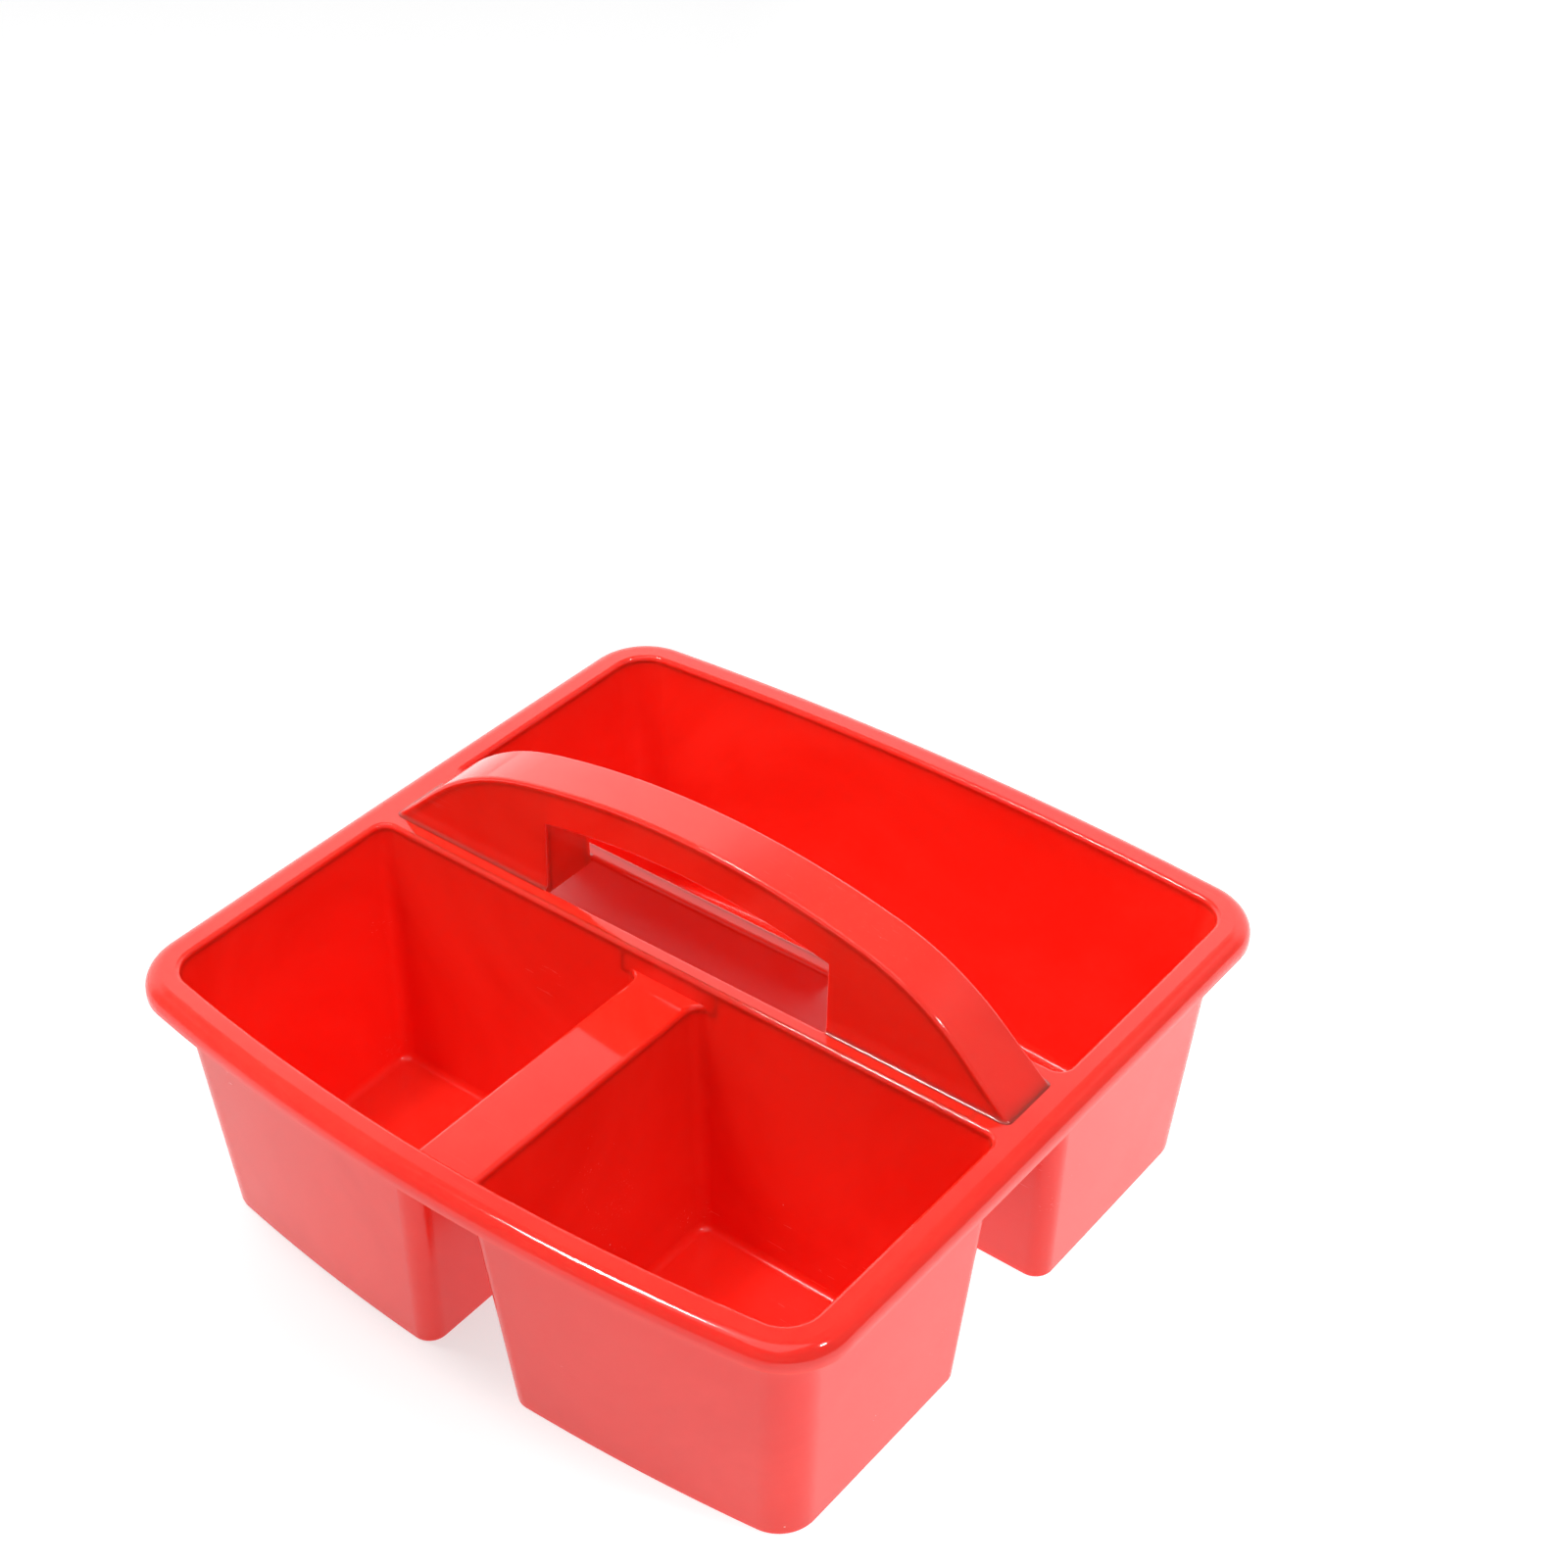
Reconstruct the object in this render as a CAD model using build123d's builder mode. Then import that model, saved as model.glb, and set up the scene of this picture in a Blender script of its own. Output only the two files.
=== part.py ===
from build123d import *
import math
import os

# Three-compartment art supply box: one moulding, divided here into its named regions.
# Millimetres, +Z up. The origin is under the middle of the overall box, on the surface it rests on.

# ---- driving dimensions ----
overall_width = 235.0  # X, over the rim
overall_depth = 230.5  # Y, over the rim at the middle of its bowed sides
rim_height = 84.5  # the rim's flat top above the ground
handle_rise = 39.4  # the handle's crown above the rim

rim_band = 8.5  # from the edge of an opening to the outside of the rim
front_bow = 9.1  # how far the front bulges past its corners
rear_bow = 5.7
side_bow = 0.4
outer_corner = 11.3  # plan radius of the four outer corners, the same at every level
pocket_corner = 5.4  # plan radius of the corners beside the bridge and the divider

wall = 1.6
floor_thickness = 2.0
deck_thickness = 2.0
draft_angle = 4.3  # every pocket narrows towards its floor
lip = 1.3  # rounded edge where the deck or the divider turns down into a pocket
lip_steps = 6  # facets in the divider's rounded edge
ground_edge = 1.0  # rounding around the underside of a pocket
floor_edge = 2.5  # rounding around the floor inside a pocket

rim_round = 4.8  # rolled outer edge of the rim
skirt_height = 6.0  # the rim's outside, from its flat top down

bridge_centre = 0.9  # Y of the bridge that carries the handle
handle_base = 18.9  # the handle's thickness where it leaves the deck
handle_draft = 2.25  # lean of its front and rear walls
bridge_ledge = 4.15  # from the handle to the edge of an opening
ledge_end = 9.0  # each ledge beside the handle stops this far short of the handle's foot
handle_wall = 2.0
strap_edge = 0.9  # rounding along both edges of the strap
foot_gap = 2.0  # from the handle's foot to the line of the side openings
foot_angle = 43.8  # slope of the handle's straight ends
foot_round = 1.1  # hollow rounding where the handle grows out of the deck
crown_angle = 14.1  # slope where the crown turns into a shoulder
shoulder_radius = 72.0

hand_hole_half = 49.0
grip_depth = 12.1  # crown of the handle down to the top of the hand hole
hole_edge = 0.5  # rounding around the hand hole
cheek = 2.0  # cross walls that close the handle at both ends of the hand hole

divider_width = 17.3  # flat top between the two front pockets
divider_drop = 6.6  # its top below the rim

# ---- sizes that follow ----
reach = 2 * max(overall_width, overall_depth)  # longer than any cut needs
hair = 0.001  # lengths that differ by less than this are the same
lean = math.tan(math.radians(draft_angle))
handle_lean = math.tan(math.radians(handle_draft))
deck_under = rim_height - deck_thickness
divider_top = rim_height - divider_drop
divider_under = divider_top - deck_thickness
half_chord_x = overall_width / 2 - rim_band - side_bow
half_chord_y = (overall_depth - front_bow - rear_bow) / 2 - rim_band
chord_middle = (front_bow - rear_bow) / 2  # Y halfway between the front and rear corners
handle_foot = half_chord_x + side_bow - foot_gap  # half the handle's length at deck level
ledge_half = handle_foot - ledge_end
bridge_front = bridge_centre - handle_base / 2 - bridge_ledge
bridge_rear = bridge_centre + handle_base / 2 + bridge_ledge
divider_half = divider_width / 2 - divider_drop * lean  # the divider's edge, carried up to the rim
divider_span = divider_half + pocket_corner + wall + lip  # the divider's region ends past its corners
crown_z = rim_height + handle_rise
foot_slope = math.radians(foot_angle)
crown_slope = math.radians(crown_angle)

# the crown's radius is the one that leaves room for both shoulders and the straight ends below them
shoulder_run = shoulder_radius * (math.sin(foot_slope) - math.sin(crown_slope))
shoulder_drop = shoulder_radius * (math.cos(crown_slope) - math.cos(foot_slope))
spare_drop = (handle_foot - shoulder_run) * math.tan(foot_slope) - (handle_rise - shoulder_drop)
crown_radius = spare_drop / (math.sin(crown_slope) * math.tan(foot_slope) - 1 + math.cos(crown_slope))
crown_middle = (0, crown_z - crown_radius)
shoulder_middle = (
    (crown_radius - shoulder_radius) * math.sin(crown_slope),
    crown_z - crown_radius + (crown_radius - shoulder_radius) * math.cos(crown_slope),
)


def bow_radius(half_chord, bow):
    """radius of the arc that rises by bow over this half chord"""
    return (half_chord**2 + bow**2) / (2 * bow)


side_radius = bow_radius(half_chord_y, side_bow)
front_radius = bow_radius(half_chord_x, front_bow)
rear_radius = bow_radius(half_chord_x, rear_bow)

# each bowed side: the centre of its circle, its radius, and a turn that keeps the circle's seam off it
bowed_sides = [
    ((half_chord_x + side_bow - side_radius, chord_middle), side_radius, 180),
    ((side_radius - half_chord_x - side_bow, chord_middle), side_radius, 0),
    ((0, chord_middle - half_chord_y - front_bow + front_radius), front_radius, 0),
    ((0, chord_middle + half_chord_y + rear_bow - rear_radius), rear_radius, 0),
]

# where each pocket may lie at the rim: lowest X, highest X, lowest Y, highest Y
whole_front = (-reach, reach, -reach, bridge_front)
whole_rear = (-reach, reach, bridge_rear, reach)
whole_plan = (-reach, reach, -reach, reach)

bridge_plane = Plane.XZ.offset(-bridge_centre)  # faces the front
inside = -lip  # growth from an opening's flat edge to its inner wall
outside = wall - lip  # and to its outer wall


def plan_section(level, growth, region, slope=lean):
    """sketch of a region's rounded outline at one level, grown from the flat edge of its opening"""
    shift = growth - (rim_height - level) * slope
    x_low, x_high, y_low, y_high = region
    x_sides = (x_low - shift, x_high + shift)
    y_sides = (y_low - shift, y_high + shift)
    with BuildSketch(Plane.XY.offset(level)) as section:
        Rectangle(reach, reach)
        for centre, radius, turn in bowed_sides:
            with Locations(Location((*centre, 0), (0, 0, turn))):
                Circle(radius + shift, mode=Mode.INTERSECT)
        with Locations((sum(x_sides) / 2, sum(y_sides) / 2)):
            Rectangle(x_sides[1] - x_sides[0], y_sides[1] - y_sides[0], mode=Mode.INTERSECT)
        corners = section.vertices()
        inner = corners.filter_by(lambda v: is_near(v.X, x_sides) or is_near(v.Y, y_sides))
        outer = ShapeList(corner for corner in corners if corner not in inner)
        fillet(outer, outer_corner + growth)
        corners = section.vertices()
        inner = corners.filter_by(lambda v: is_near(v.X, x_sides) or is_near(v.Y, y_sides))
        if inner:
            fillet(inner, pocket_corner + growth)
    return section.sketch


def is_near(value, places):
    """true where value is one of these places"""
    return any(abs(value - place) < hair for place in places)


def is_floor(face):
    """true for the flat floor inside a pocket"""
    return face.geom_type == GeomType.PLANE and is_near(face.center().Z, [floor_thickness])


def pocket_form(low, high, growth, region):
    """solid between two levels of a pocket, with its draft"""
    with BuildPart() as form:
        for level in (low, high):
            add(plan_section(level, growth, region))
        loft(ruled=True)
    return form.part


def arch_sketch(inset, bottom):
    """the handle's arched outline in X and Z, moved inwards by inset and closed at bottom"""
    low = bottom - handle_rise  # the straight ends run on down to here, and are then cut off level
    foot_x = handle_foot - (inset + (low - rim_height) * math.cos(foot_slope)) / math.sin(foot_slope)
    with BuildSketch(Plane.XZ) as arch:
        with BuildLine():
            crown = CenterArc(crown_middle, crown_radius - inset, 90 - crown_angle, crown_angle)
            shoulder = CenterArc(
                shoulder_middle, shoulder_radius - inset, 90 - foot_angle, foot_angle - crown_angle
            )
            Polyline(shoulder @ 0, (foot_x, low), (0, low), crown @ 1)
        make_face()
        mirror(about=Plane.YZ)
        with Locations((0, bottom)):
            Rectangle(reach, reach, align=(Align.CENTER, Align.MIN), mode=Mode.INTERSECT)
    return arch.sketch


def handle_form(inset, bottom):
    """the handle's solid outline with its leaning front and rear, moved inwards by inset"""
    bottom_half = handle_base / 2 - inset + (rim_height - bottom) * handle_lean
    top_half = handle_base / 2 - inset - handle_rise * handle_lean
    with BuildPart() as form:
        with BuildSketch(Plane.YZ):
            with BuildLine():
                Polyline(
                    (bridge_centre - bottom_half, bottom),
                    (bridge_centre + bottom_half, bottom),
                    (bridge_centre + top_half, crown_z),
                    (bridge_centre - top_half, crown_z),
                    close=True,
                )
            make_face()
        extrude(amount=handle_foot, both=True)
        with BuildSketch(Plane.XZ):
            add(arch_sketch(inset, bottom))
        extrude(amount=reach, both=True, mode=Mode.INTERSECT)
    return form.part


def is_foot_edge(edge):
    """true for an edge where the handle's outside meets the top of the deck"""
    place = edge @ 0.5
    within_length = abs(place.X) < handle_foot + foot_round
    within_base = abs(place.Y - bridge_centre) < handle_base / 2 + foot_round
    return is_near(place.Z, [rim_height]) and within_length and within_base


def front_region(side, give=0.0):
    """where one front pocket may lie, with its divider side moved over by give; side is -1 on the left"""
    near = side * (divider_half - give)
    x_low, x_high = sorted((near, side * reach))
    return (x_low, x_high, -reach, bridge_front)


def front_pocket_space(side):
    """the space of one front pocket, rounded over at the top of the divider"""
    with BuildPart() as space:
        add(plan_section(floor_thickness, inside, front_region(side)))
        for step in range(lip_steps + 1):
            angle = math.radians(90 * step / lip_steps)
            level = divider_top - lip + lip * math.sin(angle)
            give = lip - lip * math.cos(angle)
            add(plan_section(level, inside, front_region(side, give)))
        loft(ruled=True)
    return space.part


# ---- forms that several regions share ----
front_space = pocket_form(divider_top, rim_height, inside, whole_front)
front_collar = pocket_form(divider_under, deck_under, outside, whole_front)
rear_space = pocket_form(floor_thickness, rim_height, inside, whole_rear)
left_space = front_pocket_space(-1)
right_space = front_pocket_space(1)
handle_hollow = handle_form(handle_wall, deck_under)

# the handle's outside: strap edges rounded over, and a hollow rounding where it grows out of the deck
with BuildPart() as handle_outline:
    add(handle_form(0, rim_height))
    raised_edges = handle_outline.edges().filter_by(lambda e: (e @ 0.5).Z > rim_height + strap_edge)
    fillet(raised_edges.filter_by(lambda e: abs((e @ 0.5).Y - bridge_centre) > strap_edge), strap_edge)
    with Locations((0, bridge_centre, rim_height)):
        Box(
            reach,
            bridge_rear - bridge_front,
            deck_thickness,
            align=(Align.CENTER, Align.CENTER, Align.MAX),
        )
    fillet(handle_outline.edges().filter_by(is_foot_edge), foot_round)
    split(bisect_by=Plane.XY.offset(rim_height), keep=Keep.TOP)

with BuildPart() as divider_zone:
    with Locations((0, 0, divider_under)):
        Box(2 * divider_span, reach, reach, align=(Align.CENTER, Align.CENTER, Align.MIN))

with BuildPart() as under_strap:
    with BuildSketch(Plane.XZ):
        add(arch_sketch(handle_wall, rim_height))
    extrude(amount=handle_base, both=True)

with BuildPart() as hand_hole:
    with BuildSketch(Plane.XZ):
        add(arch_sketch(grip_depth, deck_under))
        with Locations((0, deck_under)):
            Rectangle(2 * hand_hole_half, handle_rise, align=(Align.CENTER, Align.MIN), mode=Mode.INTERSECT)
    extrude(amount=handle_base, both=True)

# the deck: the flat top with its rolled edge and its openings, before it is shared out
with BuildPart() as deck:
    add(plan_section(rim_height, rim_band, whole_plan))
    extrude(amount=-skirt_height)
    fillet(deck.faces().sort_by(Axis.Z)[-1].edges(), rim_round)
    add(plan_section(deck_under, rim_band - deck_thickness, whole_plan, slope=0))
    extrude(amount=-skirt_height, mode=Mode.SUBTRACT)
    for space in (front_space, rear_space, handle_hollow):
        add(space, mode=Mode.SUBTRACT)
    with Locations((0, bridge_centre, deck_under)):
        Box(
            2 * hand_hole_half,
            handle_base,
            deck_thickness,
            align=(Align.CENTER, Align.CENTER, Align.MIN),
            mode=Mode.SUBTRACT,
        )
    flat_top = deck.faces().filter_by(Axis.Z).sort_by(Axis.Z)[-1]
    opening_edges = ShapeList(edge for loop in flat_top.inner_wires() for edge in loop.edges())
    handle_side = handle_base / 2 - hair
    fillet(opening_edges.filter_by(lambda e: abs((e @ 0.5).Y - bridge_centre) > handle_side), lip)

with BuildPart() as ledges:
    add(deck.part)
    with Locations((0, bridge_centre, deck_under)):
        Box(
            2 * ledge_half,
            bridge_rear - bridge_front,
            deck_thickness,
            align=(Align.CENTER, Align.CENTER, Align.MIN),
            mode=Mode.INTERSECT,
        )


def front_pocket(side, space):
    """one front pocket; side is -1 on the left and 1 on the right"""
    with BuildPart() as pocket:
        add(pocket_form(0, divider_under, outside, front_region(side)))
        fillet(pocket.faces().sort_by(Axis.Z)[0].edges(), ground_edge)
        add(front_collar)
        add(divider_zone.part, mode=Mode.SUBTRACT)
        with Locations((-side * reach / 2, 0, 0)):
            Box(reach, reach, reach, mode=Mode.SUBTRACT)
        add(space, mode=Mode.SUBTRACT)
        add(front_space, mode=Mode.SUBTRACT)
        fillet(pocket.faces().filter_by(is_floor).edges(), floor_edge)
    return pocket


def is_hole_edge(edge):
    """true for an edge around the hand hole, on the outside of the handle's front or rear wall"""
    place = edge @ 0.5
    half_here = handle_base / 2 - (place.Z - rim_height) * handle_lean
    on_outside = is_near(abs(place.Y - bridge_centre), [half_here])
    within_length = abs(place.X) < hand_hole_half + hole_edge
    below_grip = place.Z < crown_z - grip_depth + hole_edge
    return on_outside and within_length and below_grip


def handle_side_wall(keep):
    """the handle's front or rear wall, from the deck to the underside of the strap"""
    with BuildPart() as side:
        add(handle_outline.part)
        add(under_strap.part, mode=Mode.INTERSECT)
        add(handle_hollow, mode=Mode.SUBTRACT)
        add(hand_hole.part, mode=Mode.SUBTRACT)
        split(bisect_by=bridge_plane, keep=keep)
        fillet(side.edges().filter_by(is_hole_edge), hole_edge)
    return side


def hole_cheek(side):
    """cross wall that closes the hollow handle at one end of the hand hole"""
    with BuildPart() as closure:
        add(handle_hollow)
        with Locations((side * (hand_hole_half + cheek / 2), bridge_centre, deck_under)):
            Box(
                cheek,
                handle_base,
                handle_rise,
                align=(Align.CENTER, Align.CENTER, Align.MIN),
                mode=Mode.INTERSECT,
            )
    return closure


# ---- regions of the moulding ----
# rim: the flat band around the openings, its rolled edge and the short skirt below it
with BuildPart() as rim:
    add(deck.part)
    add(ledges.part, mode=Mode.SUBTRACT)
rim.part.label = "rim"

# ledges: the flat strips of deck in front of and behind the handle
with BuildPart() as front_ledge:
    add(ledges.part)
    split(bisect_by=bridge_plane, keep=Keep.TOP)
front_ledge.part.label = "front_ledge"

with BuildPart() as rear_ledge:
    add(ledges.part)
    split(bisect_by=bridge_plane, keep=Keep.BOTTOM)
rear_ledge.part.label = "rear_ledge"

# pockets: one long one behind the bridge, and two in front of it that share a lowered divider
with BuildPart() as rear_cup:
    add(pocket_form(0, deck_under, outside, whole_rear))
    fillet(rear_cup.faces().sort_by(Axis.Z)[0].edges(), ground_edge)
    add(rear_space, mode=Mode.SUBTRACT)
    fillet(rear_cup.faces().filter_by(is_floor).edges(), floor_edge)
rear_cup.part.label = "rear_cup"

front_left_cup = front_pocket(-1, left_space)
front_left_cup.part.label = "front_left_cup"

front_right_cup = front_pocket(1, right_space)
front_right_cup.part.label = "front_right_cup"

with BuildPart() as cup_divider:
    add(front_collar)
    add(divider_zone.part, mode=Mode.INTERSECT)
    for space in (left_space, right_space, front_space):
        add(space, mode=Mode.SUBTRACT)
cup_divider.part.label = "cup_divider"

# handle: hollow and open below, with two walls, a strap along the top and a cross wall at each side
# of the hand hole
handle_front_wall = handle_side_wall(Keep.TOP)
handle_front_wall.part.label = "handle_front_wall"

handle_rear_wall = handle_side_wall(Keep.BOTTOM)
handle_rear_wall.part.label = "handle_rear_wall"

with BuildPart() as handle_strap:
    add(handle_outline.part)
    add(under_strap.part, mode=Mode.SUBTRACT)
handle_strap.part.label = "handle_strap"

left_hole_cheek = hole_cheek(-1)
left_hole_cheek.part.label = "left_hole_cheek"

right_hole_cheek = hole_cheek(1)
right_hole_cheek.part.label = "right_hole_cheek"

# ---- files ----
regions = [
    rim,
    front_ledge,
    rear_ledge,
    rear_cup,
    front_left_cup,
    front_right_cup,
    cup_divider,
    handle_front_wall,
    handle_rear_wall,
    handle_strap,
    left_hole_cheek,
    right_hole_cheek,
]
os.makedirs("parts", exist_ok=True)
for region in regions:
    export_step(region.part, f"parts/{region.part.label}.step")
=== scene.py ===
import math

import bpy
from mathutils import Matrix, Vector


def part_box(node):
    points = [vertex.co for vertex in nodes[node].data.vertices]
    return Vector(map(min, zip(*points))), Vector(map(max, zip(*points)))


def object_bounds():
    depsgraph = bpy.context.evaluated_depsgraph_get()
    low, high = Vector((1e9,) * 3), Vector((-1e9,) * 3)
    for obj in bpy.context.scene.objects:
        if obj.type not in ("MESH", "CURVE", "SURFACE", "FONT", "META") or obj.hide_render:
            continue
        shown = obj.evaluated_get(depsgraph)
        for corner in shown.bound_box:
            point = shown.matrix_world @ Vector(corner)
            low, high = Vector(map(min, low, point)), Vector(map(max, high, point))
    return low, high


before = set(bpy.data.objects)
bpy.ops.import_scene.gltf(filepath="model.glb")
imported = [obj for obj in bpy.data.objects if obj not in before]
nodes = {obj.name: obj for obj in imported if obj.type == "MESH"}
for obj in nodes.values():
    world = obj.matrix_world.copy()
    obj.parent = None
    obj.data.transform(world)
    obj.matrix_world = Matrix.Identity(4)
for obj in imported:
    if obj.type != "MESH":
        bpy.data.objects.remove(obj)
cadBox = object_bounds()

scene = bpy.context.scene
lowest, highest = cadBox
print("loaded", len(nodes), "regions of the moulding")


# camera: looks down at the box from the front, over its right-hand corner
cameraLook = {
    "target": (-0.0193, 0.0618, 0.0937),
    "azimuth": 37.82,  # degrees round from the front
    "elevation": 36.14,
    "distance": 0.7778,
    "lens": 61.58,
    "sensor": 36,
}


def towards(azimuth, elevation):
    # unit vector from the box towards something seen at these angles
    turn = math.radians(azimuth)
    rise = math.radians(elevation)
    return Vector((math.sin(turn) * math.cos(rise), -math.cos(turn) * math.cos(rise), math.sin(rise)))


def aim(thing, target):
    # turns a camera or a light to look at a point
    thing.rotation_euler = (target - thing.location).to_track_quat("-Z", "Y").to_euler()


def placeCamera():
    target = Vector(cameraLook["target"])
    back = towards(cameraLook["azimuth"], cameraLook["elevation"])
    bpy.ops.object.camera_add(location=target + back * cameraLook["distance"])
    camera = bpy.context.object
    camera.name = "viewer"
    aim(camera, target)
    camera.data.sensor_width = cameraLook["sensor"]
    camera.data.lens = cameraLook["lens"]
    scene.camera = camera


placeCamera()
print("camera in place")


def fill(node, inputs):
    # sets a node's sockets: numbers and colours on the socket itself, patterns by a link
    for name, given in inputs.items():
        if isinstance(given, Value):
            given.tree.links.new(given.socket, node.inputs[name])
        else:
            node.inputs[name].default_value = given


# shader maths: a value that can be added, multiplied and so on, each step adding its node
class Value:
    def __init__(self, tree, socket):
        self.tree = tree
        self.socket = socket

    def make(self, kind, settings=None, inputs=None, output=0):
        node = self.tree.nodes.new(kind)
        for name, setting in (settings or {}).items():
            setattr(node, name, setting)
        fill(node, inputs or {})
        return Value(self.tree, node.outputs[output])

    def maths(self, operation, first, second):
        return self.make("ShaderNodeMath", {"operation": operation}, {0: first, 1: second})

    def __add__(self, other):
        return self.maths("ADD", self, other)

    def __radd__(self, other):
        return self.maths("ADD", other, self)

    def __sub__(self, other):
        return self.maths("SUBTRACT", self, other)

    def __rsub__(self, other):
        return self.maths("SUBTRACT", other, self)

    def __mul__(self, other):
        return self.maths("MULTIPLY", self, other)

    def __rmul__(self, other):
        return self.maths("MULTIPLY", other, self)

    def ramp(self, low, high):
        # 0 below low, 1 above high, smooth between; low may be the larger
        settings = {"interpolation_type": "SMOOTHSTEP", "clamp": True}
        if low < high:
            return self.make("ShaderNodeMapRange", settings, {0: self, 1: low, 2: high, 3: 0.0, 4: 1.0})
        return self.make("ShaderNodeMapRange", settings, {0: self, 1: high, 2: low, 3: 1.0, 4: 0.0})

    def noise(self, scale, detail=2.0, distortion=0.0):
        # cloudy pattern from 0 to 1 at this many waves a metre
        inputs = {"Vector": self, "Scale": scale, "Detail": detail, "Distortion": distortion}
        return self.make("ShaderNodeTexNoise", {}, inputs)

    def stretched(self, turn, scale):
        # coordinates turned and then stretched, for streaks
        return self.make("ShaderNodeMapping", {}, {"Vector": self, "Rotation": turn, "Scale": scale})

    def blend(self, first, second):
        # colour that goes from first to second as this value goes from 0 to 1
        inputs = {0: self, 6: first, 7: second}
        return self.make("ShaderNodeMix", {"data_type": "RGBA"}, inputs, 2)


def startMaterial(name):
    material = bpy.data.materials.new(name)
    material.use_nodes = True
    tree = material.node_tree
    places = tree.nodes.new("ShaderNodeTexCoord").outputs["Object"]
    return material, tree.nodes["Principled BSDF"], Value(tree, places)


# red polypropylene: glossy on the rim, handle and divider, a little duller further down the pockets
plasticLook = {
    "red": (0.90, 0.028, 0.014, 1),
    "deepRed": (0.80, 0.018, 0.008, 1),
    "swirlScale": 11.0,  # flow marks, waves a metre
    "swirlDetail": 4.0,
    "swirlTwist": 1.6,
    "swirlEdges": (0.30, 0.72),
    "glossRoughness": 0.07,
    "pocketRoughness": 0.22,
    "glossAbove": 0.010,  # below the rim, where the polish of the tool starts to change
    "dullBelow": 0.022,
    "smudgeScale": 38.5,
    "smudgeDetail": 5.0,
    "smudgeTwist": 0.8,
    "smudgeEdges": (0.45, 0.75),
    "smudgeRoughness": 0.035,
    "scratchTurns": (0.5, 2.2),  # the two ways they run
    "scratchTilt": 0.35,
    "scratchStretch": 26.0,
    "scratchScale": 55.0,
    "scratchDetail": 3.0,
    "scratchTwist": 0.35,
    "scratchEdges": (0.655, 0.70),
    "scratchPatchScale": 22.0,
    "scratchPatchEdges": (0.52, 0.66),
    "scratchRoughness": 0.16,
    "handledAround": 0.004,  # above and below the rim's top, where handling starts to show
    "unhandled": 0.25,  # share of the scratches left below that
    "rubbed": (0.90, 0.085, 0.060, 1),  # where handling has dulled it
    "rubbedShare": 0.30,
    "speck": (0.95, 0.55, 0.48, 1),
    "speckShare": 0.75,
    "speckScale": 70.0,
    "speckEdges": (0.030, 0.016),  # of a cell, from outside a speck to inside it
    "speckChoice": (0.90, 0.91),  # one cell in ten has one
    "rippleScale": 16.0,  # slow unevenness of the moulded faces
    "rippleDetail": 1.0,
    "rippleHeight": 0.00022,
    "peelScale": 420.0,
    "peelHeight": 0.0000035,
    "grainScale": 2600.0,  # fine spark finish of the pockets
    "grainHeight": 0.000022,
    "through": 0.75,  # share of the light that wanders inside the thin walls
    "throughReach": (1.0, 0.12, 0.08),
    "throughScale": 0.006,
    "index": 1.5,
    "specular": 0.5,
    "coat": 0.25,
    "coatRoughness": 0.03,
}


def scratches(places, turn):
    # thin scattered lines that run one way
    stretch = plasticLook["scratchStretch"]
    streaks = places.stretched((0.0, plasticLook["scratchTilt"], turn), (1.0, stretch, stretch))
    lines = streaks.noise(
        plasticLook["scratchScale"], plasticLook["scratchDetail"], plasticLook["scratchTwist"]
    )
    patches = places.noise(plasticLook["scratchPatchScale"], 1.0)
    return lines.ramp(*plasticLook["scratchEdges"]) * patches.ramp(*plasticLook["scratchPatchEdges"])


def specks(places):
    # a few pin-head marks, each in its own cell of a scattered grid
    inputs = {"Vector": places, "Scale": plasticLook["speckScale"]}
    cell = places.make("ShaderNodeTexVoronoi", {}, inputs, "Distance")
    chosen = places.make("ShaderNodeTexVoronoi", {}, inputs, "Color")
    level = chosen.make("ShaderNodeSeparateColor", {}, {"Color": chosen}, "Red")
    return cell.ramp(*plasticLook["speckEdges"]) * level.ramp(*plasticLook["speckChoice"])


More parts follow.
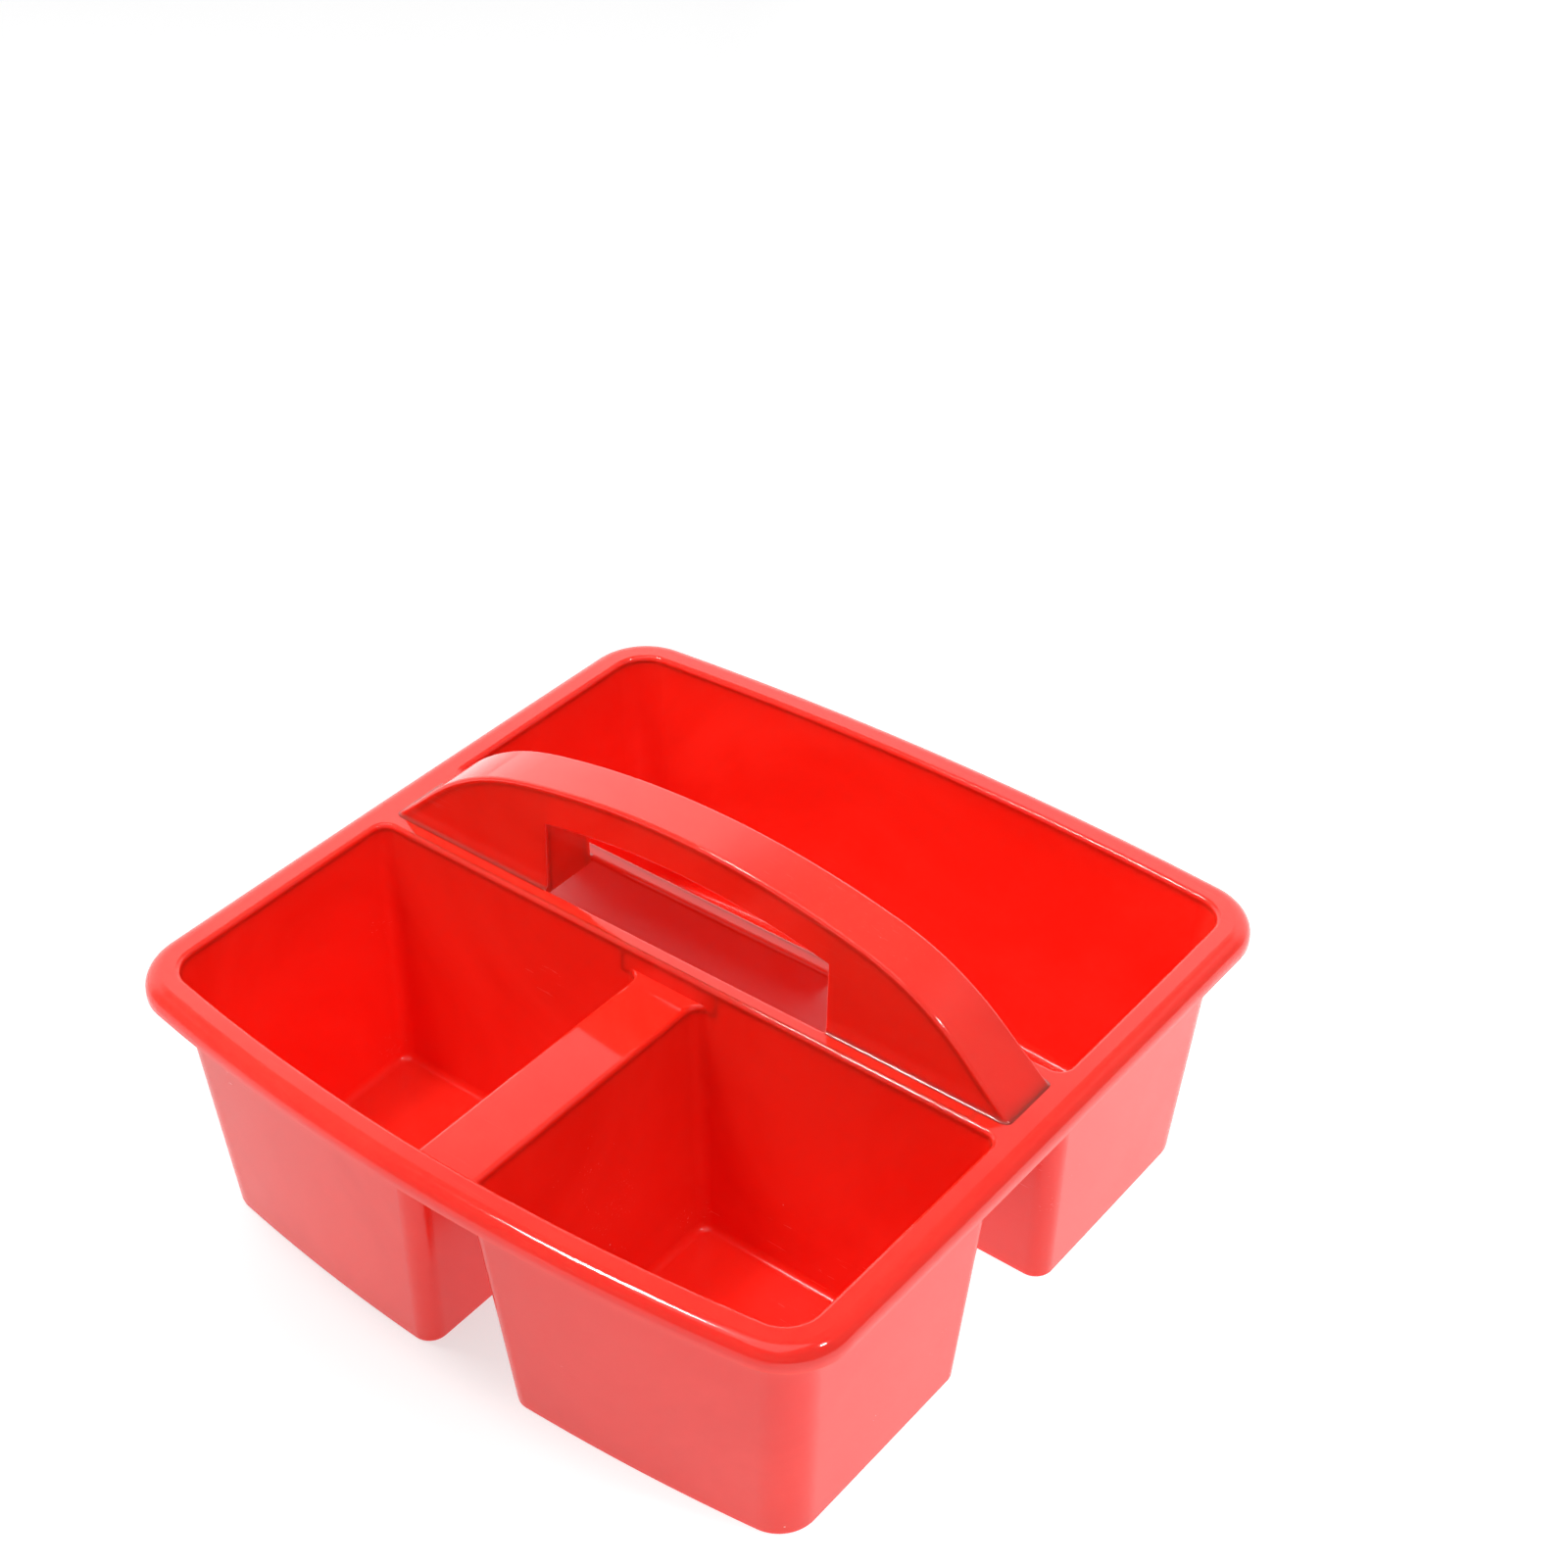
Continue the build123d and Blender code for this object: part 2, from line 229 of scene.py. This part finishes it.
def plastic(name):
    material, shader, places = startMaterial(name)
    height = places.make("ShaderNodeSeparateXYZ", {}, {"Vector": places}, "Z")
    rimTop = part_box("rim")[1].z
    around = plasticLook["handledAround"]
    dull = height.ramp(rimTop - plasticLook["glossAbove"], rimTop - plasticLook["dullBelow"])
    handled = height.ramp(rimTop - around, rimTop + around)

    swirl = places.noise(plasticLook["swirlScale"], plasticLook["swirlDetail"], plasticLook["swirlTwist"])
    smudge = places.noise(
        plasticLook["smudgeScale"], plasticLook["smudgeDetail"], plasticLook["smudgeTwist"]
    )
    firstTurn, secondTurn = plasticLook["scratchTurns"]
    marks = scratches(places, firstTurn) + scratches(places, secondTurn)
    unhandled = plasticLook["unhandled"]
    wear = marks * (unhandled + (1 - unhandled) * handled)

    colour = swirl.ramp(*plasticLook["swirlEdges"]).blend(plasticLook["red"], plasticLook["deepRed"])
    colour = (plasticLook["rubbedShare"] * wear).blend(colour, plasticLook["rubbed"])
    colour = (plasticLook["speckShare"] * specks(places)).blend(colour, plasticLook["speck"])

    gloss = plasticLook["glossRoughness"]
    roughness = (
        gloss
        + (plasticLook["pocketRoughness"] - gloss) * dull
        + plasticLook["smudgeRoughness"] * smudge.ramp(*plasticLook["smudgeEdges"])
        + plasticLook["scratchRoughness"] * wear
    )

    ripple = places.noise(plasticLook["rippleScale"], plasticLook["rippleDetail"])
    peel = places.noise(plasticLook["peelScale"])
    grain = places.noise(plasticLook["grainScale"]) * dull
    relief = (
        plasticLook["rippleHeight"] * ripple
        + plasticLook["peelHeight"] * peel
        + plasticLook["grainHeight"] * grain
        - plasticLook["peelHeight"] * wear
    )
    bump = relief.make("ShaderNodeBump", {}, {"Strength": 1.0, "Distance": 1.0, "Height": relief})

    fill(shader, {
        "Base Color": colour,
        "Roughness": roughness,
        "Subsurface Weight": plasticLook["through"],
        "Subsurface Radius": plasticLook["throughReach"],
        "Subsurface Scale": plasticLook["throughScale"],
        "IOR": plasticLook["index"],
        "Specular IOR Level": plasticLook["specular"],
        "Coat Weight": plasticLook["coat"] - plasticLook["coat"] * dull,
        "Coat Roughness": plasticLook["coatRoughness"],
        "Coat IOR": plasticLook["index"],
        "Normal": bump,
    })
    return material


redPlastic = plastic("redPlastic")
for node in nodes.values():
    node.data.materials.clear()
    node.data.materials.append(redPlastic)
print("plastic on every region")


# floor: a matt white sheet that glows with painted light, brighter towards one side, so it stays white
# where the box's shadow would fall
floorLook = {
    "size": 6.0,
    "paint": (0.38, 0.38, 0.38, 1),
    "shade": (0.35, 0.35, 0.35, 1),
    "cloudScale": 3.0,
    "cloudDetail": 3.0,
    "roughness": 0.6,
    "paintedLightGlow": 1.05,  # painted light: the sheet glows so that it stays white under the box, where its shadow would fall
    "paintedLightBright": (1, 1, 1, 1),
    "paintedLightSoft": (0.54, 0.54, 0.54, 1),
    "paintedLightTurn": 31,  # degrees: the painted glow of the floor is brighter towards this side
    "paintedLightEdges": (-0.12, 0.16),  # metres that way, from soft to bright
}


def layFloor():
    bpy.ops.mesh.primitive_plane_add(size=floorLook["size"], location=(0, 0, lowest.z))
    floor = bpy.context.object
    floor.name = "floor"
    material, shader, places = startMaterial("tableTopPaintedGlow")
    cloud = places.noise(floorLook["cloudScale"], floorLook["cloudDetail"])
    turn = math.radians(floorLook["paintedLightTurn"])
    along = places.make(
        "ShaderNodeVectorMath",
        {"operation": "DOT_PRODUCT"},
        {0: places, 1: (math.cos(turn), math.sin(turn), 0.0)},
        "Value",
    )
    # painted light: the floor's glow, soft on one side and bright towards the other
    paintedLightGlow = along.ramp(*floorLook["paintedLightEdges"])
    fill(shader, {
        "Base Color": cloud.blend(floorLook["paint"], floorLook["shade"]),
        "Roughness": floorLook["roughness"],
        "Emission Color": paintedLightGlow.blend(floorLook["paintedLightSoft"], floorLook["paintedLightBright"]),
        "Emission Strength": floorLook["paintedLightGlow"],
    })
    floor.data.materials.append(material)


layFloor()


# light: a dim room with a bright backdrop behind on the left, two soft boxes, and two small lamps
# for the glints along the rim
lightLook = {
    "room": 0.40,
    "backdrop": 1.4,
    "backdropFrom": (-0.61, 0.79, 0.0),  # the way from the box to the middle of the backdrop
    "backdropEdge": (0.10, 0.60),  # how squarely a direction faces it: just outside, and well inside
    "backdropTop": (0.74, 0.61),  # height on the unit sphere: above it, and well below its top
    "softBoxes": [
        {"name": "topBox", "size": 0.90, "power": 2.9,
         "azimuth": 0, "elevation": 78, "distance": 1.3},
        {"name": "leftBox", "size": 0.50, "power": 6.0,
         "azimuth": -74, "elevation": 53, "distance": 1.15},
        {"name": "frontGlint", "size": 0.18, "power": 5.5,
         "azimuth": -57.7, "elevation": 65, "distance": 1.17},
        {"name": "cornerGlint", "size": 0.12, "power": 3.0,
         "azimuth": 94, "elevation": 50.5, "distance": 1.23},
    ],
    "unmirrored": ["leftBox"],  # lights the box without showing in its gloss
}


def lightRoom():
    world = bpy.data.worlds.new("whiteRoom")
    world.use_nodes = True
    tree = world.node_tree
    way = Value(tree, tree.nodes.new("ShaderNodeTexCoord").outputs["Generated"])
    height = way.make("ShaderNodeSeparateXYZ", {}, {"Vector": way}, "Z")
    facing = way.make(
        "ShaderNodeVectorMath",
        {"operation": "DOT_PRODUCT"},
        {0: way, 1: lightLook["backdropFrom"]},
        "Value",
    )
    sheet = facing.ramp(*lightLook["backdropEdge"]) * height.ramp(*lightLook["backdropTop"])
    room = lightLook["room"]
    fill(tree.nodes["Background"], {
        "Color": (1, 1, 1, 1),
        "Strength": room + (lightLook["backdrop"] - room) * sheet,
    })
    scene.world = world
    middle = (lowest + highest) / 2
    for box in lightLook["softBoxes"]:
        place = middle + towards(box["azimuth"], box["elevation"]) * box["distance"]
        bpy.ops.object.light_add(type="AREA", location=place)
        lamp = bpy.context.object
        lamp.name = box["name"]
        lamp.data.size = box["size"]
        lamp.data.energy = box["power"]
        lamp.visible_glossy = box["name"] not in lightLook["unmirrored"]
        aim(lamp, middle)


lightRoom()
scene.view_settings.view_transform = "Standard"
print("floor and light in place")
